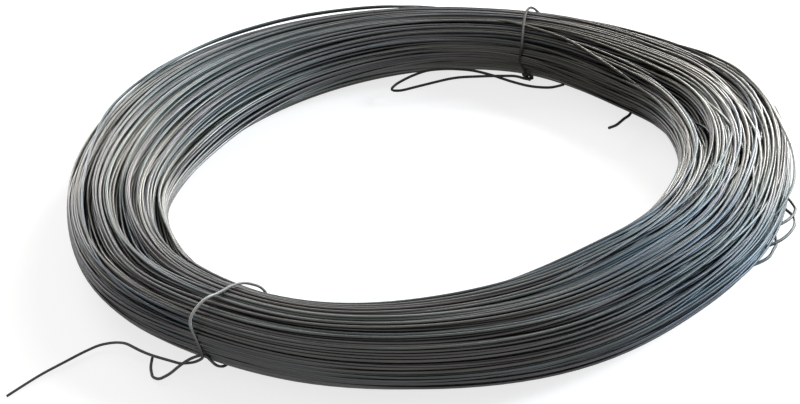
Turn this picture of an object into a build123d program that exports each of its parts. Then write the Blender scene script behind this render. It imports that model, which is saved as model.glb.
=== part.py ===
"""A tied coil of annealed iron wire, lying flat, in millimetres.

The origin is on the coil's own axis, on the floor that it lies on, with +Z up. X runs to the right and
Y to the back. Bearings are in degrees round the axis, from +X towards +Y.
"""

import os
from math import atan, cos, pi, radians, sin, sqrt, tan

from build123d import *

# The coil: one long wire wound in some 470 turns. Its section has a narrow underside, flanks that
# rise from it, upright sides, round shoulders and a low roof with a round crown.
wire_diameter = 2.4
coil_outer_diameter = 570.0
coil_bore_diameter = 382.0
coil_height = 43.5
underside_width = 36.0
side_bottom = 14.0
roof_drop = 19.0
peak_cut = 6.0
shoulder_radius = 13.0
foot_radius = 13.0
turn_pitch = 12.0
turn_depth = 1.5

# The two ties of the same sort of wire, and the waist that each one pulls into the coil.
tie_diameter = 2.2
wire_flats = 6
tie_clearance = 1.0
channel_clearance = 0.3
floor_gap = 0.15
front_bearing = -128.0
back_bearing = 64.0
waist_depth = 14.5
waist_height = 25.0
waist_sweep_radius = 140.0
tie_foot_inset = 7.0
tie_side_bottom = 15.5
tie_side_middle = 21.0
tie_shoulder_lift = 4.5

# The front tie is slack: its strand stands off the coil's outer shoulder.
front_slack = 5.0

# How far the strands under the coil lie to one side of their waist, in degrees.
front_under_lean = 2.3
back_under_lean = -1.5

# The twist of a tie: half a turn of two strands round each other.
twist_offset = 1.8
twist_steps = 4

# The share of a straight run that the arc at each of its ends may take.
run_share = 0.45

inner_radius = coil_bore_diameter / 2
outer_radius = coil_outer_diameter / 2
middle_radius = (inner_radius + outer_radius) / 2
half_width = (outer_radius - inner_radius) / 2

# The roof rises from both sides to a peak, and the crown's arc rounds it off at the coil's height.
roof_peak = coil_height + peak_cut
side_top = roof_peak - roof_drop
roof_angle = atan(roof_drop / half_width)
crown_radius = peak_cut / (1 / cos(roof_angle) - 1)

# The arcs at the sides' ends share the side's height.
side_height = side_top - side_bottom
foot_angle = atan(side_bottom / (half_width - underside_width / 2))
shoulder_arc = min(shoulder_radius, run_share * side_height / tan((pi / 2 - roof_angle) / 2))
foot_arc = min(foot_radius, run_share * side_height / tan((pi / 2 - foot_angle) / 2))

# Where a tie's centre line runs round the waist.
tie_seat = tie_diameter / 2 + tie_clearance
waist_half_width = half_width - waist_depth
tie_foot = floor_gap + tie_diameter / 2
channel_size = tie_diameter + 2 * channel_clearance


def at(bearing, radius, height):
    """The place at a bearing, a distance from the axis and a height."""
    return Vector(radius * cos(radians(bearing)), radius * sin(radians(bearing)), height)


def beside_waist(side, lean):
    """How far from the axis a tie passes the outer (1) or the inner (-1) side of its waist."""
    along = (middle_radius + side * waist_half_width) * sin(radians(lean))
    waist = waist_half_width + waist_sweep_radius - sqrt(waist_sweep_radius**2 - along**2)
    return (middle_radius + side * (waist + tie_seat)) / cos(radians(lean))


def beneath(bearing, side, lean):
    """A tie's corner where it turns in under the coil."""
    return at(bearing + lean, beside_waist(side, lean) - side * tie_foot_inset, tie_foot)


def beside(bearing, side, lean, height):
    """A tie's corner beside its waist."""
    return at(bearing + lean, beside_waist(side, lean), height)


def above(bearing, share, lean, slack=0.0):
    """A tie's corner over the roof, at a share of the way from the peak to the waist's side."""
    offset = share * waist_half_width
    if abs(offset) < crown_radius * sin(roof_angle):
        roof = coil_height - crown_radius + sqrt(crown_radius**2 - offset**2)
    else:
        roof = roof_peak - abs(offset) * tan(roof_angle)
    return at(bearing + lean, middle_radius + offset, roof + slack + tie_seat / cos(roof_angle))


def beside_wall(rows, wall_radius):
    """Corners given as a bearing, a distance out from one of the coil's walls, and a height."""
    return [at(bearing, wall_radius + stand_off, height) for bearing, stand_off, height in rows]


def twisted(start, end, first_turn):
    """The corners of one of two strands that turn half round each other from start to end."""
    axis = (end - start).normalized()
    across = axis.cross(Vector(0, 0, 1)).normalized()
    upward = across.cross(axis)
    corners = []
    for step in range(twist_steps + 1):
        turn = first_turn + pi * step / twist_steps
        place = start + (end - start) * (step / twist_steps)
        corners.append(place + (across * cos(turn) + upward * sin(turn)) * twist_offset)
    return corners


def route_bends(points):
    """The arcs of a route's corners, as large as the two runs of each allow."""
    bends = []
    for before, corner, after in zip(points, points[1:], points[2:]):
        first = corner - before
        second = after - corner
        half_turn = radians(first.get_angle(second)) / 2
        bends.append(run_share * min(first.length, second.length) / tan(half_turn))
    return bends


def bent_wire(points, size):
    """A wire along straight runs joined by arcs."""
    with BuildPart() as wire:
        with BuildLine():
            route = FilletPolyline(*points, radius=route_bends(points))
        with BuildSketch(Plane(origin=route @ 0, z_dir=route % 0)):
            RegularPolygon(radius=size / 2, side_count=wire_flats)
        sweep(path=route)
    return wire.part


# The front tie passes under the coil, and its ends are twisted outside.
front_feet = [beneath(front_bearing, side, front_under_lean) for side in (1, -1)]
front_twist = (
    at(front_bearing + 1.0, beside_waist(1, 1.0) + twist_offset, 16.0),
    at(front_bearing - 2.7, outer_radius - 2.5, 7.0),
)

# On the bore's side it runs along the shoulder before it crosses the crown.
front_over = [
    beside(front_bearing, -1, front_under_lean, tie_side_bottom),
    beside(front_bearing, -1, 2.0, side_top + tie_shoulder_lift),
    above(front_bearing, -0.8, -1.2),
    above(front_bearing, -0.45, -1.7),
    above(front_bearing, 0, -1.6),
    above(front_bearing, 0.45, -1.6, front_slack),
    above(front_bearing, 0.82, -1.7, front_slack),
    beside(front_bearing, 1, -1.6, side_top + tie_shoulder_lift + front_slack),
    beside(front_bearing, 1, 0, tie_side_middle),
]

# One of its ends is hooked and the other one is long, loose on the floor.
front_hook = beside_wall(
    [(-136.6, -2.6, 2.2), (-134.9, 7.0, 2.0), (-132.9, 14.7, 2.0), (-131.8, 14.2, 2.0), (-131.2, 6.2, 3.0)],
    outer_radius,
)
front_tail = beside_wall(
    [
        (-137.1, 0.2, 6.0),
        (-142.0, 0.8, 5.5),
        (-143.9, 4.7, 3.5),
        (-145.1, 13.8, 2.5),
        (-145.2, 27.9, 2.0),
        (-144.9, 47.7, 1.8),
        (-144.7, 64.3, 1.6),
        (-144.2, 81.4, 1.5),
        (-143.7, 97.7, 1.4),
    ],
    outer_radius,
)

# The back tie is twisted in the bore.
back_feet = [beneath(back_bearing, side, back_under_lean) for side in (-1, 1)]
back_twist = (
    at(back_bearing - 1.6, beside_waist(-1, 1.6) - twist_offset, 12.0),
    at(back_bearing - 3.8, inner_radius + 7.5, 9.5),
)
back_over = [
    beside(back_bearing, 1, back_under_lean, tie_side_bottom),
    beside(back_bearing, 1, 2.4, side_top + tie_shoulder_lift),
    above(back_bearing, 0.82, 2.6),
    above(back_bearing, 0.45, 2.3),
    above(back_bearing, 0, 1.5),
    above(back_bearing, -0.45, 0.5),
    above(back_bearing, -0.82, -0.5),
    beside(back_bearing, -1, -1, side_top + tie_shoulder_lift),
    beside(back_bearing, -1, -0.2, tie_side_middle),
]

# Its tail stands off the bore's wall, doubles back and is tucked in.
back_tail = beside_wall(
    [
        (48.9, -3.3, 18.0),
        (52.8, -4.0, 12.0),
        (58.3, -6.5, 10.5),
        (63.9, -6.7, 12.5),
        (69.2, -5.4, 16.0),
        (74.4, -4.7, 19.0),
        (80.8, -3.6, 19.5),
        (86.35, -2.6, 18.0),
        (90.9, -3.0, 13.0),
        (94.3, -6.0, 9.5),
        (96.3, -13.9, 8.5),
        (93.7, -20.1, 10.0),
        (85.05, -18.4, 14.0),
        (78.4, -12.6, 16.0),
        (69.05, -9.2, 17.0),
        (63.0, -1.5, 15.5),
        (60.2, 0.5, 12.5),
    ],
    inner_radius,
)

# The coil wire's own cut end sticks out of the bore's wall on the right.
cut_end = beside_wall(
    [(27.5, 8.0, 22.0), (23.8, -3.5, 22.0), (21.9, -17.8, 20.0), (21.9, -20.6, 18.0), (22.4, -25.3, 17.0)],
    inner_radius,
)

# The flank of the section, from the underside up the bore's wall, over the crown and down outside.
with BuildLine(Plane.XZ):
    flank = FilletPolyline(
        (middle_radius - underside_width / 2, 0),
        (inner_radius, side_bottom),
        (inner_radius, side_top),
        (middle_radius, roof_peak),
        (outer_radius, side_top),
        (outer_radius, side_bottom),
        (middle_radius + underside_width / 2, 0),
        radius=[foot_arc, shoulder_arc, crown_radius, shoulder_arc, foot_arc],
    )
ridge_count = round(flank.length / turn_pitch)

# Each ridge stands for turns that lie side by side, with a furrow down to the next one.
ridge_points = []
for step in range(2 * ridge_count + 1):
    share = step / (2 * ridge_count)
    place = flank @ share
    tangent = flank % share
    depth = turn_depth * (step % 2)
    ridge_points.append((place.X + depth * tangent.Z, place.Z - depth * tangent.X))

with BuildPart() as wire_coil:
    with BuildSketch(Plane.XZ):
        with BuildLine():
            Polyline(*ridge_points, close=True)
        make_face()
    revolve(axis=Axis.Z)
    for bearing, feet in ((front_bearing, front_feet), (back_bearing, back_feet)):
        # A ring round the section cuts the waist, which is narrowest at the ring's hole.
        waist = Plane(origin=at(bearing, middle_radius, waist_height), z_dir=at(bearing + 90, 1, 0))
        with Locations(waist.location):
            Torus(waist_half_width + waist_sweep_radius, waist_sweep_radius, mode=Mode.SUBTRACT)

        # Under the coil the tie lies in a channel, so that the coil still rests flat.
        with Locations(Plane(origin=(feet[0] + feet[1]) / 2, x_dir=feet[1] - feet[0]).location):
            Box(coil_outer_diameter - coil_bore_diameter, channel_size, channel_size, mode=Mode.SUBTRACT)
    add(bent_wire(cut_end, wire_diameter))

with BuildPart() as front_tie:
    under = front_hook + twisted(*front_twist, 0)[::-1] + front_feet
    add(bent_wire(under + front_over + twisted(*front_twist, pi) + front_tail, tie_diameter))

with BuildPart() as back_tie:
    under = back_tail + twisted(*back_twist, 0)[::-1] + back_feet
    add(bent_wire(under + back_over + twisted(*back_twist, pi), tie_diameter))

os.makedirs("parts", exist_ok=True)
for name, built in (("wire_coil", wire_coil), ("front_tie", front_tie), ("back_tie", back_tie)):
    built.part.label = name
    export_step(built.part, f"parts/{name}.step")
print("ridges", ridge_count, "crown radius", round(crown_radius, 1), "side height", round(side_height, 1))
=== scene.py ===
# %% [markdown]
# # A tied coil of annealed iron wire
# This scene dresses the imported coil. The solids give its size and place: a turned ring, and two ties
# that pull it in. Here the ring becomes what it is on the real object, one long drawn wire in some 470
# turns that cross, slide over each other and fan out where no tie holds them.

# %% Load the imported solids
import math

import bpy
import numpy as np
from mathutils import Matrix, Vector


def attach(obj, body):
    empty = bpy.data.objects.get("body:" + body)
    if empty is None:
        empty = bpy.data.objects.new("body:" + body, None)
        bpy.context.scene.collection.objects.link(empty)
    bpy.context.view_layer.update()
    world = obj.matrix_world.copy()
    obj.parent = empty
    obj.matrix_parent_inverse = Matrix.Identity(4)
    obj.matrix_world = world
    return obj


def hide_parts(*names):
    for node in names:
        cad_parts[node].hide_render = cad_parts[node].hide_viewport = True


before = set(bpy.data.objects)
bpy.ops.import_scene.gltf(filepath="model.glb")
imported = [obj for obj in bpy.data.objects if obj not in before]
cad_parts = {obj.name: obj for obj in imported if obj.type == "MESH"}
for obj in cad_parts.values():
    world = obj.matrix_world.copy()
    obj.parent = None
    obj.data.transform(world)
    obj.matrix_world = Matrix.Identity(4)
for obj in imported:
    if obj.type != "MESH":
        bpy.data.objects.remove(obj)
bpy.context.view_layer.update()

print("solids:", sorted(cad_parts))

# %% [markdown]
# ## The photograph's camera
# The coil was photographed from about 2.3 metres, 30 degrees above the floor. Its right side is higher
# in the picture than its left side, so the camera was also turned a little about its own line of sight.
# Angles set by trial would drift as soon as the camera moved. A place, a point to look at and a roll
# give the same view in three plain values.

# %% Place the camera
camera_place = Vector((0.0, -1.9716, 1.1394))
camera_target = Vector((-0.0176, -0.0309, 0.02))
camera_roll = math.radians(-5.23)

camera_data = bpy.data.cameras.new("camera")
camera_data.lens = 131.0
camera_data.sensor_width = 36.0
camera_data.clip_end = 20.0
camera = bpy.data.objects.new("camera", camera_data)
bpy.context.scene.collection.objects.link(camera)
look = (camera_target - camera_place).to_track_quat("-Z", "Y").to_matrix()
turned = look @ Matrix.Rotation(camera_roll, 3, "Z")
camera.matrix_world = Matrix.Translation(camera_place) @ turned.to_4x4()
bpy.context.scene.camera = camera
print("camera axes:", [tuple(round(v, 4) for v in turned.col[i]) for i in range(3)])

# %% [markdown]
# ## The section that the turns fill
# Cut across anywhere, the coil is a low rounded heap of wires. It is narrowest at the two ties and wide
# between them, and its loose parts sag out of round. Its bore, its outer side and its height were judged
# from the photograph at the bearings below. A spline through measured sections would show every
# misjudged row, so smoothing joins them into one soft outline instead. A bell curve says how near a
# bearing is to a tie.

# %% Describe the heap's section by its bearing round the ring
wire_diameter = 0.0024
stations = 128
front_tie_bearing = math.radians(-129.0)
back_tie_bearing = math.radians(64.0)
tie_reach = math.radians(13.0)
bearings = front_tie_bearing + 2 * math.pi * np.arange(stations) / stations

# Bearing in degrees, then, in mm, how far the bore and the outer side are from the axis, and the height.
judged = np.array(
    [
        (-180, 198, 276, 43),
        (-168, 199, 275, 43),
        (-158, 201, 277, 43),
        (-146, 203, 278, 43),
        (-129, 204.8, 271.8, 46),
        (-113, 205, 275, 45),
        (-90, 189, 287, 45.5),
        (-70, 173, 303, 44),
        (-60, 175, 297, 44.5),
        (-50, 179, 287.5, 45),
        (-42, 182, 289, 45),
        (-32, 187, 292, 44),
        (-24, 190, 288, 43),
        (-16, 194, 284, 42),
        (0, 202, 287, 41),
        (10, 200, 293, 41),
        (22, 193, 302, 41),
        (32, 187, 292, 41),
        (40, 190, 283, 41),
        (52, 197, 275, 42),
        (64, 204.8, 271.2, 43.5),
        (78, 204, 271, 43.5),
        (92, 199, 281, 44),
        (112, 182, 298, 45),
        (135, 175, 301, 45),
        (157, 177, 291, 43),
        (168, 187, 281, 43),
    ]
)


def round_the_ring(column, softness):
    """One judged column at every station, smoothed along the ring."""
    values = np.interp(np.degrees(bearings), judged[:, 0], judged[:, column], period=360) / 1000
    reach = np.arange(-3 * softness, 3 * softness + 1)
    kernel = np.exp(-0.5 * (reach / softness) ** 2)
    wrapped = np.concatenate([values[reach[0] :], values, values[: reach[-1]]])
    return np.convolve(wrapped, kernel / kernel.sum(), mode="valid")


def near_tie(tie_bearing):
    """1 at a tie, falling to 0 away from it, at every station."""
    away = (bearings - tie_bearing + math.pi) % (2 * math.pi) - math.pi
    return np.exp(-((away / tie_reach) ** 2))


bore_wall = round_the_ring(column=1, softness=2)
outer_wall = round_the_ring(column=2, softness=2)
middle_radius = (bore_wall + outer_wall) / 2
half_widths = (outer_wall - bore_wall) / 2
half_heights = round_the_ring(column=3, softness=3) / 2
held_at_ties = near_tie(front_tie_bearing) + near_tie(back_tie_bearing)
print("width, mm:", round(2000 * half_widths.min()), "to", round(2000 * half_widths.max()))

# %% [markdown]
# ## One wire, 470 turns
# A coil like this is wound on a machine, taken off and tied, and then the loose turns slide. Copies of
# one ring, or a plain helix, would look too neat. So each turn has a home in the section, and the wire
# moves on to a next home once a round. Homes are spread like seeds in a sunflower, which fills a disc
# evenly. The order goes to a near neighbour, with a long step now and then, and those long steps are the
# strands that cross the others.

# %% Give each turn a home, and join the homes into one wire
rng = np.random.default_rng(7)
turns = 470
golden_angle = math.pi * (3 - math.sqrt(5))

# Steps between homes, where the section's half width is 1, and the share of steps that are long.
short_step = 0.07
long_step = 0.6
long_steps_share = 0.22

seed_number = np.arange(turns)
seed_radius = np.sqrt((seed_number + 0.5) / turns)
seed_turn = golden_angle * seed_number
homes = np.stack([seed_radius * np.cos(seed_turn), seed_radius * np.sin(seed_turn)], axis=1)

order = [0]
free = set(range(1, turns))
while free:
    step_size = long_step if rng.random() < long_steps_share else short_step
    wanted = homes[order[-1]] + rng.normal(0, step_size, 2)
    candidates = np.array(sorted(free))
    chosen = int(candidates[np.argmin(((homes[candidates] - wanted) ** 2).sum(axis=1))])
    order.append(chosen)
    free.remove(chosen)
homes = homes[order]

print("turns:", turns, "wire, m:", round(turns * 2 * math.pi * float(middle_radius.mean())))

# %% [markdown]
# The wire changes homes somewhere on the right-hand side, each turn at a bearing of its own, and a turn
# that goes far climbs over the others. It also strays a little all the way round, most at the right,
# where the photograph shows the loosest turns. The straying is smooth noise along the whole wire, so a
# turn starts where the one before it ended.

# %% Let the wire stray between its homes


def smooth_step(value):
    held = np.clip(value, 0, 1)
    return held * held * (3 - 2 * held)


def smooth_noise(count, reach):
    """Noise with a spread of 1, which changes sides about once in four and a half reaches."""
    kernel = np.exp(-0.5 * (np.arange(-3 * reach, 3 * reach + 1) / reach) ** 2)
    noise = np.convolve(rng.normal(0, 1, count + 6 * reach), kernel, mode="valid")
    return noise / noise.std()


# Where on its round a turn changes homes, as a share of the round from the front tie.
first_change = 0.22
last_change = 0.45
change_length = 0.17
along_turn = np.arange(stations) / stations
changes_at = rng.uniform(first_change, last_change, turns)
moved = smooth_step((along_turn[None] - changes_at[:, None]) / change_length + 0.5)
next_homes = np.vstack([homes[1:], homes[-1:]])
path = homes[:, None, :] * (1 - moved[..., None]) + next_homes[:, None, :] * moved[..., None]

# A turn low in the heap has no room to climb.
climb_share = 0.5
lowest_climber = -0.2
climb = climb_share * np.abs(next_homes - homes)[:, 0] * (homes[:, 1] > lowest_climber)
path[..., 1] += climb[:, None] * 4 * moved * (1 - moved)

loose = 1 - np.clip(held_at_ties, 0, 1)
across_view = np.abs(np.cos(bearings))
on_the_right = np.clip(np.cos(bearings), 0, 1)
least_stray = 0.0008
stray_at_sides = 0.0020
stray_at_right = 0.0022
stray_when_tied = 0.15
stray_reach = 9
stray_size = least_stray + stray_at_sides * across_view + stray_at_right * on_the_right
stray_size = stray_size * (stray_when_tied + (1 - stray_when_tied) * loose)
stray = np.stack([smooth_noise(turns * stations, stray_reach) for _ in range(2)], axis=1)
stray = stray.reshape(turns, stations, 2)

wire_radius = wire_diameter / 2
section_sizes = np.stack([half_widths - wire_radius, half_heights - wire_radius], axis=1)
offsets = path * section_sizes[None] + stray * stray_size[None, :, None]
print("offsets:", offsets.shape)

# %% [markdown]
# Where nothing holds them, loose turns also gather in bundles and leave dark gaps between. A wave
# across the section does that: it draws the turns towards its crests and lets those near the top sink
# between them. Its phase drifts round the ring, so that the gaps are long lenses. Gaps cut out of the
# finished wires would leave cut ends, which no coil has.

# %% Gather the loose turns in bundles
bundle_width = 0.0120
strongest_pull = 0.0036
bundle_pull = strongest_pull * loose * (0.30 + 0.70 * across_view)

# The turns at the back left lie closer and smoother than the others.
calm_bearing = 145
calm_reach = 28
calm = np.exp(-((((np.degrees(bearings) - calm_bearing + 180) % 360 - 180) / calm_reach) ** 2))
bundle_pull = bundle_pull * (1 - 0.6 * calm)

# Two slow waves of different lengths move the gaps about, and a third one makes some of them shallow.
drift = 1.6 * np.sin(2 * bearings + 0.7) + 1.1 * np.sin(3 * bearings + 2.1)
phase = 2 * math.pi * offsets[..., 0] / bundle_width + drift[None]
split_width = 0.035
split = 0.6 + 0.4 * np.sin(2 * math.pi * offsets[..., 0] / split_width + 7 * bearings[None])
offsets[..., 0] += bundle_pull[None] * split * np.sin(phase)
near_top = np.clip(path[..., 1], 0, 1)
offsets[..., 1] -= bundle_pull[None] * split * near_top * np.clip(np.cos(phase), 0, 1)
print("bundles across the section:", round(2 * float(half_widths.max()) / bundle_width))

# %% [markdown]
# ## The deep rifts
# At its left and its right the coil shows a few gaps much deeper than the rest, where one can look down
# between two bundles. A wave can't place them, so each has its own row: the turns beside a rift's line
# move off it, and those on the line sink.

# %% Describe the few deep rifts that the coil shows
# Bearing and half length in degrees, then the distance from the axis and half the opening in mm.
rifts = [
    (-163, 17, 235, 3.2),
    (-165, 13, 257, 2.8),
    (-160, 12, 208, 2.8),
    (-147, 12, 246, 2.4),
    (12, 15, 222, 3.6),
    (14, 12, 268, 2.4),
]

# How soft a rift's edge is, how far from it turns still move, and how wide and deep its bottom is.
rift_edge = 0.0015
rift_reach = 0.014
rift_bottom = 0.003
sink_share = 2.5


def with_rifts(sections, share):
    """The sections with a share of each rift's opening."""
    parted = sections.copy()
    upper = np.clip(sections[..., 1] / half_heights[:, None] + 0.5, 0, 1)
    for rift_bearing, rift_length, rift_radius, opening in rifts:
        away = (np.degrees(bearings) - rift_bearing + 180) % 360 - 180
        opened = share * opening / 1000 * loose * np.exp(-((away / rift_length) ** 2))
        off_line = sections[..., 0] - (rift_radius / 1000 - middle_radius)[:, None]
        spread = np.tanh(off_line / rift_edge) * np.exp(-((off_line / rift_reach) ** 2))
        sunk = np.exp(-((off_line / rift_bottom) ** 2))
        parted[..., 0] += opened[:, None] * upper * spread
        parted[..., 1] -= sink_share * opened[:, None] * upper * sunk
    return parted


print("rifts:", len(rifts))

# %% [markdown]
# ## Let the turns settle
# Two wires can't be in one place. At every bearing, each wire is pushed away from its nearest
# neighbours until they are a diameter apart, then smoothed along its length, because it is stiff, and
# kept inside the heap. Some dozens of such rounds are a small simulation in plain arrays. It is quicker
# than a physics engine, and it gives the same coil on each run.

# %% Write the three moves of one round
neighbour_count = 8
heap_squareness = 2.4
push_share = 0.32

# A wire that crosses another one goes over or under it rather than through, so height counts more.
height_weight = 1.6


def nearest_neighbours(sections):
    """For each station and turn, the numbers of the turns that lie nearest."""
    squares = (sections**2).sum(axis=2)
    gaps = squares[:, :, None] + squares[:, None, :] - 2 * sections @ sections.transpose(0, 2, 1)
    return np.argpartition(gaps, neighbour_count + 1, axis=2)[:, :, : neighbour_count + 1]


def pushed_apart(sections, neighbours, spacing):
    """The turns after one push away from those neighbours that are too near."""
    others = np.take_along_axis(sections[:, None, :, :], neighbours[..., None], axis=2)
    away = sections[:, :, None, :] - others
    away[..., 1] *= height_weight
    distance = np.sqrt((away**2).sum(axis=3)) + 1e-7
    overlap = np.clip(spacing - distance, 0, None)
    push = (away / distance[..., None]) * overlap[..., None]
    return sections + push_share * push.sum(axis=2)


def smoothed(sections, passes):
    """The one long wire, each of its points drawn towards the two beside it."""
    along = sections.transpose(1, 0, 2).reshape(turns * stations, 2)
    for _ in range(passes):
        along = np.vstack([along[:1], (along[:-2] + 2 * along[1:-1] + along[2:]) / 4, along[-1:]])
    return along.reshape(turns, stations, 2).transpose(1, 0, 2)


def kept_in_heap(sections):
    """Points outside the rounded heap go back to its skin."""
    share = np.abs(sections) / section_sizes[:, None, :]
    outside = (share**heap_squareness).sum(axis=2) ** (1 / heap_squareness)
    return sections / np.clip(outside, 1, None)[..., None]


print("neighbours of a turn:", neighbour_count)

# %% [markdown]
# The rifts are opened first, and once more at the end, because the pushing half closes them. Looking for
# neighbours is the slow part, and they hardly change, so it is done once in eight rounds.

# %% Run the rounds
rounds = 64
rounds_a_search = 8
last_smoothing = 3
reopened_share = 0.7

sections = with_rifts(offsets.transpose(1, 0, 2), 1.0).astype(np.float32)
section_sizes = section_sizes.astype(np.float32)
for number in range(rounds):
    if number % rounds_a_search == 0:
        neighbours = nearest_neighbours(sections)
    sections = pushed_apart(sections, neighbours, wire_diameter)
    sections = kept_in_heap(smoothed(sections, 1))
sections = kept_in_heap(with_rifts(smoothed(sections, last_smoothing), reopened_share))

neighbours = nearest_neighbours(sections)
others = np.take_along_axis(sections[:, None, :, :], neighbours[..., None], axis=2)
apart = others - sections[:, :, None, :]
distances = np.sort(np.sqrt((apart**2).sum(axis=3)), axis=2)[:, :, 1]
print("nearest wires, mm:", np.round(1000 * np.percentile(distances, [1, 10, 50, 90]), 2))

# %% [markdown]
# So far a turn is a point in each section. Its bearing, its distance from the axis and its height give
# the place in space. How deep a turn lies under the heap's skin says later whether it is ever seen.

# %% Turn the sections into places round the ring
heights = sections[..., 1] + half_heights[:, None]
radii = middle_radius[:, None] + sections[..., 0]
across = radii * np.cos(bearings)[:, None]
back = radii * np.sin(bearings)[:, None]
places = np.stack([across, back, heights], axis=2).transpose(1, 0, 2)
share = np.abs(sections) / section_sizes[:, None, :]
depth = 1 - (share**heap_squareness).sum(axis=2) ** (1 / heap_squareness)
shallowest = (depth * section_sizes.min(axis=1)[:, None]).min(axis=0)
skin_depth = 2.2 * wire_diameter
print("turns near the skin:", int((shallowest < skin_depth).sum()))

# %% [markdown]
# ## A finish for drawn and annealed iron
# Wire like this is drawn bright and then baked, which leaves a thin dark oxide skin. It still shines
# along its length, and each turn has its own tint, from blue through olive to brown. The skin is a
# shader group, because the coil and its ties share it, and each material gives it its own values. Two
# small helpers keep the building of trees short: one makes a group with its sockets, the other a node
# with its settings and its inputs, which are values or links.

# %% Write the helpers for trees, and start the skin's group


def new_group(name, inputs, outputs):
    group = bpy.data.node_groups.new(name, "ShaderNodeTree")
    for label, kind, value in inputs:
        socket = group.interface.new_socket(label, in_out="INPUT", socket_type=kind)
        socket.default_value = value
    for label, kind in outputs:
        group.interface.new_socket(label, in_out="OUTPUT", socket_type=kind)
    return group


def add_node(tree, kind, settings=None, inputs=None):
    node = tree.nodes.new(kind)
    for label, value in (settings or {}).items():
        setattr(node, label, value)
    for label, value in (inputs or {}).items():
        if isinstance(value, bpy.types.NodeSocket):
            tree.links.new(value, node.inputs[label])
        else:
            node.inputs[label].default_value = value
    return node


oxide = new_group(
    "oxide_skin",
    [
        ("Place", "NodeSocketVector", (0, 0, 0)),
        ("Tone", "NodeSocketFloat", 0.5),
        ("Dark", "NodeSocketColor", (0.10, 0.10, 0.10, 1)),
        ("Bright", "NodeSocketColor", (0.30, 0.30, 0.30, 1)),
        ("Bare", "NodeSocketFloat", 0.4),
        ("Dull", "NodeSocketFloat", 0.53),
        ("Polished", "NodeSocketFloat", 0.40),
    ],
    [("Color", "NodeSocketColor"), ("Roughness", "NodeSocketFloat"), ("Height", "NodeSocketFloat")],
)
print("sockets of the skin:", [item.name for item in oxide.interface.items_tree])

# %% [markdown]
# The skin has patches where it is thinner, and there the iron is brighter and smoother. Fine lines that
# the drawing left run along the wire and go to the bump. A ramp turns a turn's tone into its tint.

# %% Build the oxide skin
group_in = add_node(oxide, "NodeGroupInput")
group_out = add_node(oxide, "NodeGroupOutput")
skin_place = group_in.outputs["Place"]
patches = add_node(
    oxide,
    "ShaderNodeTexNoise",
    inputs={"Vector": skin_place, "Scale": 14.0, "Detail": 3.0, "Roughness": 0.6},
)
draw_place = add_node(
    oxide, "ShaderNodeVectorMath", {"operation": "MULTIPLY"}, {0: skin_place, 1: (40.0, 60.0, 90.0)}
)
draw_lines = add_node(
    oxide,
    "ShaderNodeTexNoise",
    inputs={"Vector": draw_place.outputs["Vector"], "Scale": 1.0, "Detail": 2.0},
)
patch_mask = add_node(
    oxide,
    "ShaderNodeMapRange",
    inputs={"Value": patches.outputs["Fac"], "From Min": 0.35, "From Max": 0.7},
)
bare = add_node(
    oxide,
    "ShaderNodeMath",
    {"operation": "MULTIPLY"},
    {0: patch_mask.outputs["Result"], 1: group_in.outputs["Bare"]},
)
tint = add_node(oxide, "ShaderNodeValToRGB", inputs={"Fac": group_in.outputs["Tone"]})
tints = tint.color_ramp
tints.elements[0].color = (0.76, 0.86, 1.0, 1)
tints.elements[1].color = (0.93, 0.88, 0.98, 1)
for position, colour in (
    (0.3, (0.92, 1.0, 0.95, 1)),
    (0.55, (1.0, 0.98, 0.94, 1)),
    (0.8, (1.0, 0.93, 0.87, 1)),
):
    tints.elements.new(position).color = colour
base = add_node(oxide, "ShaderNodeMix", {"data_type": "RGBA"})
oxide.links.new(bare.outputs[0], base.inputs[0])
oxide.links.new(group_in.outputs["Dark"], base.inputs[6])
oxide.links.new(group_in.outputs["Bright"], base.inputs[7])
tinted = add_node(oxide, "ShaderNodeMix", {"data_type": "RGBA", "blend_type": "MULTIPLY"})
tinted.inputs[0].default_value = 1.0
oxide.links.new(base.outputs[2], tinted.inputs[6])
oxide.links.new(tint.outputs["Color"], tinted.inputs[7])
oxide.links.new(tinted.outputs[2], group_out.inputs["Color"])
rough = add_node(
    oxide,
    "ShaderNodeMapRange",
    inputs={
        "Value": patches.outputs["Fac"],
        "From Min": 0.3,
        "From Max": 0.7,
        "To Min": group_in.outputs["Dull"],
        "To Max": group_in.outputs["Polished"],
    },
)
oxide.links.new(rough.outputs["Result"], group_out.inputs["Roughness"])
oxide.links.new(draw_lines.outputs["Fac"], group_out.inputs["Height"])
print("oxide skin nodes:", len(oxide.nodes))

# %% [markdown]
# Every wire has the same kind of material: metal with the skin's colour, roughness and bump. The pieces
# differ mostly in the values that go into the skin. A material built from nothing for each piece would
# soon differ by accident.

# %% Write the material of a wire, and make the coil's


def wire_material(name, dark, bright, bare, dull, polished):
    """A new material, and the node in it that still wants a place and a tone."""
    material = bpy.data.materials.new(name)
    material.use_nodes = True
    tree = material.node_tree
    shader = tree.nodes["Principled BSDF"]
    skin = add_node(
        tree,
        "ShaderNodeGroup",
        {"node_tree": oxide},
        {"Dark": dark, "Bright": bright, "Bare": bare, "Dull": dull, "Polished": polished},
    )
    bump = add_node(
        tree,
        "ShaderNodeBump",
        inputs={"Strength": 0.25, "Distance": 0.0002, "Height": skin.outputs["Height"]},
    )
    shader.inputs["Metallic"].default_value = 1.0
    tree.links.new(skin.outputs["Color"], shader.inputs["Base Color"])
    tree.links.new(skin.outputs["Roughness"], shader.inputs["Roughness"])
    tree.links.new(bump.outputs["Normal"], shader.inputs["Normal"])
    return material, skin


coil_finish, coil_skin = wire_material(
    "annealed_coil_wire",
    dark=(0.044, 0.044, 0.044, 1),
    bright=(0.158, 0.158, 0.156, 1),
    bare=0.8,
    dull=0.53,
    polished=0.40,
)
print("coil finish:", coil_finish.name)

# %% [markdown]
# The turns carry their own coordinates: how far along the wire a point is, how far round it, and the
# turn's tone. A pattern in space would run on from one turn to the next, as if they were one block.

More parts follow.
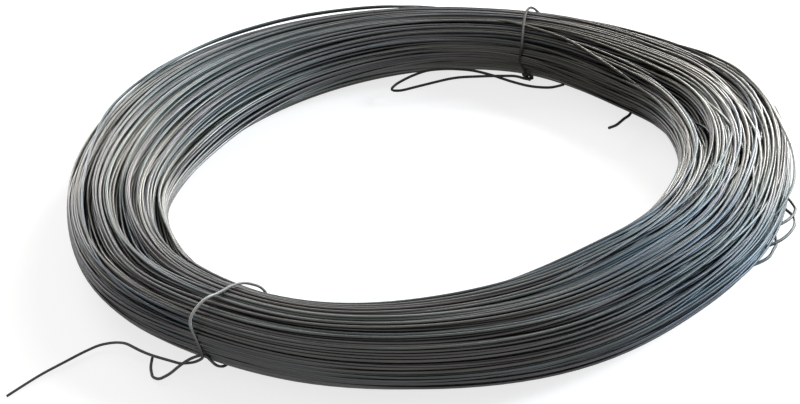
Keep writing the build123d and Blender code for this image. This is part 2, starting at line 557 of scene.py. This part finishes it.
# %% Lay the skin along the coil's turns
coil_nodes = coil_finish.node_tree
tone = add_node(coil_nodes, "ShaderNodeAttribute", {"attribute_name": "tone"})
along = add_node(coil_nodes, "ShaderNodeAttribute", {"attribute_name": "along"})
around = add_node(coil_nodes, "ShaderNodeAttribute", {"attribute_name": "around"})
wire_place = add_node(
    coil_nodes,
    "ShaderNodeCombineXYZ",
    inputs={"X": along.outputs["Fac"], "Y": around.outputs["Fac"], "Z": tone.outputs["Fac"]},
)
coil_nodes.links.new(wire_place.outputs["Vector"], coil_skin.inputs["Place"])
coil_nodes.links.new(tone.outputs["Fac"], coil_skin.inputs["Tone"])
print("coordinates:", along.attribute_name, around.attribute_name, tone.attribute_name)

# %% [markdown]
# Soft zones round a centre in space darken and tint the skin there. This is painted shade with a cool
# cast of light at the front right, painted shade with a brown cast at the back right, and a faint
# painted cool cast at the back left.

# %% Paint shade and casts of light on parts of the coil
shade_zone_coords = add_node(coil_nodes, "ShaderNodeTexCoord")
colour = coil_skin.outputs["Color"]
# Each zone darkens and tints the skin round its centre: painted shade with a painted cast of light.
for zone_centre, zone_size, painted_shade_tint in (
    ((0.20, -0.17, 0.02), (0.22, 0.18, 0.26), (0.53, 0.65, 0.75, 1)),
    ((0.185, 0.165, 0.02), (0.24, 0.20, 0.26), (0.54, 0.51, 0.47, 1)),
    ((-0.17, 0.19, 0.02), (0.22, 0.18, 0.26), (0.90, 0.97, 1.0, 1)),
):
    zone = add_node(
        coil_nodes,
        "ShaderNodeMapping",
        {"vector_type": "TEXTURE"},
        {"Vector": shade_zone_coords.outputs["Object"], "Location": zone_centre, "Scale": zone_size},
    )
    painted_shade_falloff = add_node(
        coil_nodes,
        "ShaderNodeTexGradient",
        {"gradient_type": "QUADRATIC_SPHERE"},
        {"Vector": zone.outputs["Vector"]},
    )
    painted_shade_ramp = add_node(coil_nodes, "ShaderNodeValToRGB", inputs={"Fac": painted_shade_falloff.outputs["Fac"]})
    painted_shade_ramp.color_ramp.elements[0].color = (1, 1, 1, 1)
    painted_shade_ramp.color_ramp.elements[1].position = 0.5
    painted_shade_ramp.color_ramp.elements[1].color = painted_shade_tint
    painted_shade_mix = add_node(coil_nodes, "ShaderNodeMix", {"data_type": "RGBA", "blend_type": "MULTIPLY"})
    painted_shade_mix.inputs[0].default_value = 1.0
    coil_nodes.links.new(colour, painted_shade_mix.inputs[6])
    coil_nodes.links.new(painted_shade_ramp.outputs["Color"], painted_shade_mix.inputs[7])
    colour = painted_shade_mix.outputs[2]
coil_nodes.links.new(colour, coil_nodes.nodes["Principled BSDF"].inputs["Base Color"])
print("coil finish nodes:", len(coil_nodes.nodes))

# %% [markdown]
# The ties are the imported solids, which carry no such coordinates. Their skin reads the place in space,
# and a slow noise gives the tone. The two ties are the same wire, but the front one gets light colours,
# painted light, and the back one dark colours, painted shade. Each is darker below the crown, painted
# shade on its lower part. The ties are dull, and the back one also mirrors less at a slant, which dims
# its highlight.

# %% Finish the ties
# Heights in metres: below the first a tie has its full painted shade, and above the second it has none.
painted_shade_full_below = 0.018
painted_shade_gone_above = 0.038

tie_finishes = {}
# Per tie: the front tie's colours are painted light and the back tie's painted shade; the last value is the
# painted shade at the bottom.
for node, dark, bright, at_slant, painted_shade_share in (
    ("front_tie", (0.13, 0.13, 0.13, 1), (0.28, 0.28, 0.28, 1), (1, 1, 1, 1), 0.33),
    ("back_tie", (0.03, 0.03, 0.03, 1), (0.055, 0.055, 0.055, 1), (0.5, 0.5, 0.5, 1), 0.8),
):
    finish, tie_skin = wire_material("annealed_" + node, dark, bright, bare=0.7, dull=0.74, polished=0.60)
    tie_nodes = finish.node_tree
    tie_place = add_node(tie_nodes, "ShaderNodeTexCoord")
    tie_tone = add_node(
        tie_nodes,
        "ShaderNodeTexNoise",
        inputs={"Vector": tie_place.outputs["Object"], "Scale": 11.0, "Detail": 1.0},
    )
    tie_nodes.links.new(tie_place.outputs["Object"], tie_skin.inputs["Place"])
    tie_nodes.links.new(tie_tone.outputs["Fac"], tie_skin.inputs["Tone"])
    tie_axes = add_node(tie_nodes, "ShaderNodeSeparateXYZ", inputs={"Vector": tie_place.outputs["Object"]})
    # Painted shade: the tie's colour darkens below the crown, down to the given share at the bottom.
    painted_shade_by_height = add_node(
        tie_nodes,
        "ShaderNodeMapRange",
        inputs={
            "Value": tie_axes.outputs["Z"],
            "From Min": painted_shade_full_below,
            "From Max": painted_shade_gone_above,
            "To Min": painted_shade_share,
            "To Max": 1.0,
        },
    )
    skin_with_painted_shade = add_node(
        tie_nodes,
        "ShaderNodeVectorMath",
        {"operation": "SCALE"},
        {0: tie_skin.outputs["Color"], "Scale": painted_shade_by_height.outputs["Result"]},
    )
    tie_shader = tie_nodes.nodes["Principled BSDF"]
    tie_nodes.links.new(skin_with_painted_shade.outputs["Vector"], tie_shader.inputs["Base Color"])
    tie_shader.inputs["Specular Tint"].default_value = at_slant
    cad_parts[node].data.materials.clear()
    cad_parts[node].data.materials.append(finish)
    tie_finishes[node] = finish
print("tie finishes:", [finish.name for finish in tie_finishes.values()])

# %% [markdown]
# ## A tree that makes wire of a line
# Every turn is the same round section drawn along a line. A curve's own bevel could do that too, but it
# has no place for a turn's tone, so one Geometry Nodes tree makes them all: it sweeps a small polygon
# along each line and keeps the tone, the length along it and the way round it, which the finish reads.

# %% Build the wire tree
wire_tree = bpy.data.node_groups.new("drawn_wire", "GeometryNodeTree")
wire_sockets = {}
for label, kind in (
    ("Lines", "NodeSocketGeometry"),
    ("Diameter", "NodeSocketFloat"),
    ("Sides", "NodeSocketInt"),
    ("Finish", "NodeSocketMaterial"),
):
    wire_sockets[label] = wire_tree.interface.new_socket(label, in_out="INPUT", socket_type=kind).identifier
wire_tree.interface.new_socket("Wire", in_out="OUTPUT", socket_type="NodeSocketGeometry")

tree_in = add_node(wire_tree, "NodeGroupInput")
lines = add_node(wire_tree, "GeometryNodeMeshToCurve", inputs={"Mesh": tree_in.outputs["Lines"]})
line_share = add_node(wire_tree, "GeometryNodeSplineParameter")
lengthwise = add_node(
    wire_tree,
    "GeometryNodeStoreNamedAttribute",
    {"data_type": "FLOAT", "domain": "POINT"},
    {"Geometry": lines.outputs["Curve"], "Name": "along", "Value": line_share.outputs["Length"]},
)
half = add_node(
    wire_tree, "ShaderNodeMath", {"operation": "MULTIPLY"}, {0: tree_in.outputs["Diameter"], 1: 0.5}
)
outline = add_node(
    wire_tree,
    "GeometryNodeCurvePrimitiveCircle",
    inputs={"Resolution": tree_in.outputs["Sides"], "Radius": half.outputs[0]},
)
outline_share = add_node(wire_tree, "GeometryNodeSplineParameter")
rounded = add_node(
    wire_tree,
    "GeometryNodeStoreNamedAttribute",
    {"data_type": "FLOAT", "domain": "POINT"},
    {"Geometry": outline.outputs["Curve"], "Name": "around", "Value": outline_share.outputs["Factor"]},
)
swept = add_node(
    wire_tree,
    "GeometryNodeCurveToMesh",
    inputs={
        "Curve": lengthwise.outputs["Geometry"],
        "Profile Curve": rounded.outputs["Geometry"],
        "Fill Caps": True,
    },
)
shaded = add_node(
    wire_tree,
    "GeometryNodeSetShadeSmooth",
    inputs={"Geometry": swept.outputs["Mesh"], "Shade Smooth": True},
)
realized = add_node(
    wire_tree, "GeometryNodeRealizeInstances", inputs={"Geometry": shaded.outputs["Geometry"]}
)
finished = add_node(
    wire_tree,
    "GeometryNodeSetMaterial",
    inputs={"Geometry": realized.outputs["Geometry"], "Material": tree_in.outputs["Finish"]},
)
add_node(wire_tree, "NodeGroupOutput", inputs={"Wire": finished.outputs["Geometry"]})
print("wire tree nodes:", len(wire_tree.nodes))

# %% [markdown]
# The tree needs lines with a tone each. They go in as a mesh of points and edges, the tree runs on it as
# a modifier, and what comes out is kept as a plain mesh, so that nothing live is left in the scene.

# %% Run the tree on a set of lines


def wire_piece(name, lines_of_points, tones, diameter, sides, finish):
    """One piece of wires along the given lines, each with its own tone."""
    points = np.concatenate(lines_of_points).astype(np.float32)
    lengths = [len(line) for line in lines_of_points]
    starts = np.concatenate([[0], np.cumsum(lengths)[:-1]])
    firsts = np.concatenate([np.arange(start, start + count - 1) for start, count in zip(starts, lengths)])
    edges = np.stack([firsts, firsts + 1], axis=1)
    mesh = bpy.data.meshes.new(name + "_lines")
    mesh.vertices.add(len(points))
    mesh.vertices.foreach_set("co", points.ravel())
    mesh.edges.add(len(edges))
    mesh.edges.foreach_set("vertices", edges.astype(np.int32).ravel())
    point_tones = mesh.attributes.new("tone", "FLOAT", "POINT")
    point_tones.data.foreach_set("value", np.repeat(tones, lengths).astype(np.float32))
    mesh.update()
    source = bpy.data.objects.new(name + "_source", mesh)
    bpy.context.scene.collection.objects.link(source)
    modifier = source.modifiers.new("wire", "NODES")
    modifier.node_group = wire_tree
    modifier[wire_sockets["Diameter"]] = diameter
    modifier[wire_sockets["Sides"]] = sides
    modifier[wire_sockets["Finish"]] = finish
    evaluated = source.evaluated_get(bpy.context.evaluated_depsgraph_get())
    made = bpy.data.meshes.new_from_object(evaluated)
    bpy.data.objects.remove(source)
    made.name = name
    piece = bpy.data.objects.new(name, made)
    bpy.context.scene.collection.objects.link(piece)
    triangles = sum(len(p.vertices) - 2 for p in made.polygons)
    print(name, "lines:", len(lengths), "triangles:", triangles)
    return piece


print("inputs of the tree:", list(wire_sockets))

# %% [markdown]
# ## The coil's turns
# A turn ends where the next one starts, so it takes over that turn's first point. Six sides with smooth
# shading look round at this size. These turns are split into pieces of 120, because too heavy a mesh
# would be thinned when it is saved. The turns deep in the heap are hardly seen, so they take four sides
# and every other point, and make one piece.

# %% Make the coil's turns
tones = rng.random(turns)
closed = np.concatenate([places, np.concatenate([places[1:, :1], places[-1:, -1:]])], axis=1)
skin_turns = [number for number in range(turns) if shallowest[number] < skin_depth]
core_turns = [number for number in range(turns) if shallowest[number] >= skin_depth]
group_size = 120
skin_sides = 6
core_sides = 4
coil_pieces = []
for first in range(0, len(skin_turns), group_size):
    chosen = skin_turns[first : first + group_size]
    name = f"coil_turns_{first // group_size + 1}"
    chosen_lines = [closed[number] for number in chosen]
    piece = wire_piece(name, chosen_lines, tones[chosen], wire_diameter, skin_sides, coil_finish)
    coil_pieces.append(piece)
core_lines = [closed[number][::2] for number in core_turns]
piece = wire_piece("coil_core_turns", core_lines, tones[core_turns], wire_diameter, core_sides, coil_finish)
coil_pieces.append(piece)


def part_of_the_coil(piece):
    """The piece rides on the coil's body and stands for its solid."""
    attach(piece, "root")
    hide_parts("wire_coil")


for piece in coil_pieces:
    part_of_the_coil(piece)
print("coil pieces:", len(coil_pieces))

# %% [markdown]
# ## Strands that have sprung out
# A few turns left the heap: two along the outer side at the back left, some at the far right, one that
# crosses the crown beside the back tie, and the wire's own cut end in the bore. The settling would push
# them back in, so each has a route of its own: points chosen from the photograph, with a soft
# curve drawn through them. Both ends of a route lie inside the heap, so the strand comes out of it and
# goes back in. Only the cut end's last point stays out.

# %% Draw soft curves through given points
curve_steps = 10


def place_at(bearing, radius, height):
    """A place from a bearing in degrees, and a distance from the axis and a height in mm."""
    turn = math.radians(bearing)
    return np.array((radius * math.cos(turn), radius * math.sin(turn), height)) / 1000


def soft_route(rows):
    """A curve through the rows' places, whose direction at each is that between its neighbours."""
    knots = [place_at(*row) for row in rows]
    knots = [2 * knots[0] - knots[1]] + knots + [2 * knots[-1] - knots[-2]]
    curve = []
    for before, start, end, after in zip(knots, knots[1:], knots[2:], knots[3:]):
        for step in range(curve_steps):
            t = step / curve_steps
            bend = 2 * before - 5 * start + 4 * end - after
            twist = 3 * start - before - 3 * end + after
            curve.append(start + 0.5 * t * ((end - before) + t * (bend + t * twist)))
    curve.append(knots[-2])
    return np.array(curve)


print("steps between two points:", curve_steps)

# %% Make the sprung strands
sprung = {
    "back_left": [
        (170, 258, 26), (160, 275, 31), (150, 285, 34), (138, 290.5, 35), (126, 292.5, 35), (114, 291, 35),
        (104, 287, 35), (94, 280.5, 35), (85, 272, 34.5), (76, 260, 32), (68, 250, 28),
    ],
    "back_left_inner": [
        (162, 260, 28), (150, 276, 35), (138, 284, 38), (125, 287, 39), (112, 285, 39), (100, 279, 38.5),
        (90, 272, 37), (80, 257, 33), (72, 245, 28),
    ],
    "far_right": [
        (57, 243, 22), (49, 256, 30), (41, 269, 33), (33, 278, 34), (27.8, 283, 34), (22.6, 285.7, 34),
        (16, 284.8, 34), (10, 284, 34), (4.3, 283.8, 33.5), (-1, 285.2, 33.5), (-6, 287.4, 33.5),
        (-11, 288.8, 32), (-16, 288, 29.5), (-22, 282, 25), (-30, 268, 18),
    ],
    "crown_crossing": [
        (78, 243, 36), (70.3, 232.5, 42.6), (64, 226.5, 42.9), (55.4, 220, 42), (50, 215, 40.8),
        (44.2, 209.8, 39), (36, 206, 36.5), (28, 205.5, 33), (20, 208, 28), (12, 215, 22),
    ],
    "upper_hoop": [
        (-9, 268, 16), (-12.5, 280, 16), (-15, 289, 13), (-16.2, 291, 12), (-17.8, 289.5, 11),
        (-20, 284, 11), (-24, 270, 12),
    ],
    "lower_hoop": [
        (-11, 268, 12), (-15, 281, 11), (-17.2, 290, 10), (-19, 293, 10), (-21, 293.2, 10),
        (-23.2, 290, 9), (-25.5, 284, 9), (-29, 272, 10),
    ],
    "low_strand": [(-16, 270, 9), (-23.8, 284, 8), (-26.7, 286.5, 8), (-30, 285, 8), (-36, 270, 9)],
    "cut_end": [
        (38, 222, 12), (33.5, 213, 9), (29.6, 199.5, 9), (28.2, 190, 9.5), (26.7, 181, 10),
        (26.2, 178, 10.4), (25.8, 175.8, 11), (25.2, 169.7, 12),
    ],
}
sprung_sides = 8
sprung_tones = np.linspace(0.15, 0.9, len(sprung))
sprung_lines = [soft_route(rows) for rows in sprung.values()]
piece = wire_piece("sprung_strands", sprung_lines, sprung_tones, wire_diameter, sprung_sides, coil_finish)
part_of_the_coil(piece)

# %% [markdown]
# ## Floor and backdrop
# The coil lies on a white floor with no horizon. The floor glows only where the camera sees it or the
# wire mirrors it, so the ground is white and the coil's shadow stays on it. More lamps would make the
# floor white too, but they would bleach the wire.

# %% Make the floor
floor_mesh = bpy.data.meshes.new("floor")
floor_half = 6.0
corners = [(-floor_half, -floor_half, 0), (floor_half, -floor_half, 0)]
corners += [(floor_half, floor_half, 0), (-floor_half, floor_half, 0)]
floor_mesh.from_pydata(corners, [], [(0, 1, 2, 3)])
floor = bpy.data.objects.new("floor", floor_mesh)
bpy.context.scene.collection.objects.link(floor)
floor_finish = bpy.data.materials.new("white_floor")
floor_finish.use_nodes = True
floor_tree = floor_finish.node_tree
floor_shader = floor_tree.nodes["Principled BSDF"]
floor_shader.inputs["Base Color"].default_value = (0.4, 0.4, 0.4, 1)
floor_shader.inputs["Roughness"].default_value = 0.9
floor_shader.inputs["Specular IOR Level"].default_value = 0.0
print("floor, m:", 2 * floor_half)

# %% Make the floor glow for the camera and for mirrors


def seen_or_mirrored(tree):
    """1 for a ray from the camera, from a shiny surface or through glass, and 0 for the light itself."""
    ray = add_node(tree, "ShaderNodeLightPath")
    share = ray.outputs["Is Camera Ray"]
    for kind in ("Is Glossy Ray", "Is Transmission Ray"):
        inputs = {0: share, 1: ray.outputs[kind]}
        either = add_node(tree, "ShaderNodeMath", {"operation": "MAXIMUM"}, inputs)
        share = either.outputs[0]
    return share


glow_strength = 0.76
floor_shader.inputs["Emission Color"].default_value = (1, 1, 1, 1)
floor_glow = add_node(
    floor_tree,
    "ShaderNodeMath",
    {"operation": "MULTIPLY"},
    {0: seen_or_mirrored(floor_tree), 1: glow_strength},
)
floor_tree.links.new(floor_glow.outputs[0], floor_shader.inputs["Emission Strength"])
floor_mesh.materials.append(floor_finish)
print("glow of the floor:", glow_strength)

# %% [markdown]
# ## Light
# Two big softboxes behind the coil, one each side, make the bright strands at its left and right, because
# a wire shines where its own direction lets it mirror the lamp. The front and the back run across the
# view and stay dark. A smaller, cooler one at the right reaches the wires that run slantwise, at the upper
# left and the lower right. The backdrop lights the shadows softly from all round.

# %% Light the backdrop
world = bpy.data.worlds.new("studio")
bpy.context.scene.world = world
world.use_nodes = True
world_tree = world.node_tree
backdrop = world_tree.nodes["Background"]
backdrop.inputs["Color"].default_value = (1, 1, 1, 1)
soft_light = 0.25
strength = add_node(
    world_tree,
    "ShaderNodeMath",
    {"operation": "MAXIMUM"},
    {0: seen_or_mirrored(world_tree), 1: soft_light},
)
world_tree.links.new(strength.outputs[0], backdrop.inputs["Strength"])
print("light from all round:", soft_light)

# %% Set up the softboxes


def softbox(name, place, target, width, height, power, colour):
    lamp = bpy.data.lights.new(name, "AREA")
    lamp.color = colour
    lamp.shape = "RECTANGLE"
    lamp.size = width
    lamp.size_y = height
    lamp.energy = power
    holder = bpy.data.objects.new(name, lamp)
    bpy.context.scene.collection.objects.link(holder)
    aim = (Vector(target) - Vector(place)).to_track_quat("-Z", "Y").to_matrix().to_4x4()
    holder.matrix_world = Matrix.Translation(Vector(place)) @ aim
    print(name, "watts:", power)


centre = (0, 0, 0)
softbox("left_softbox", (-1.1, 2.3, 0.7), centre, 1.3, 1.2, 55, (1.0, 0.985, 0.965))
softbox("right_softbox", (1.22, 2.12, 0.75), centre, 1.2, 1.3, 132, (1.0, 0.98, 0.93))
softbox("side_softbox", (2.3, 0.5, 0.7), centre, 0.8, 0.9, 142, (0.82, 0.915, 1.0))

bpy.context.scene.view_settings.view_transform = "Standard"
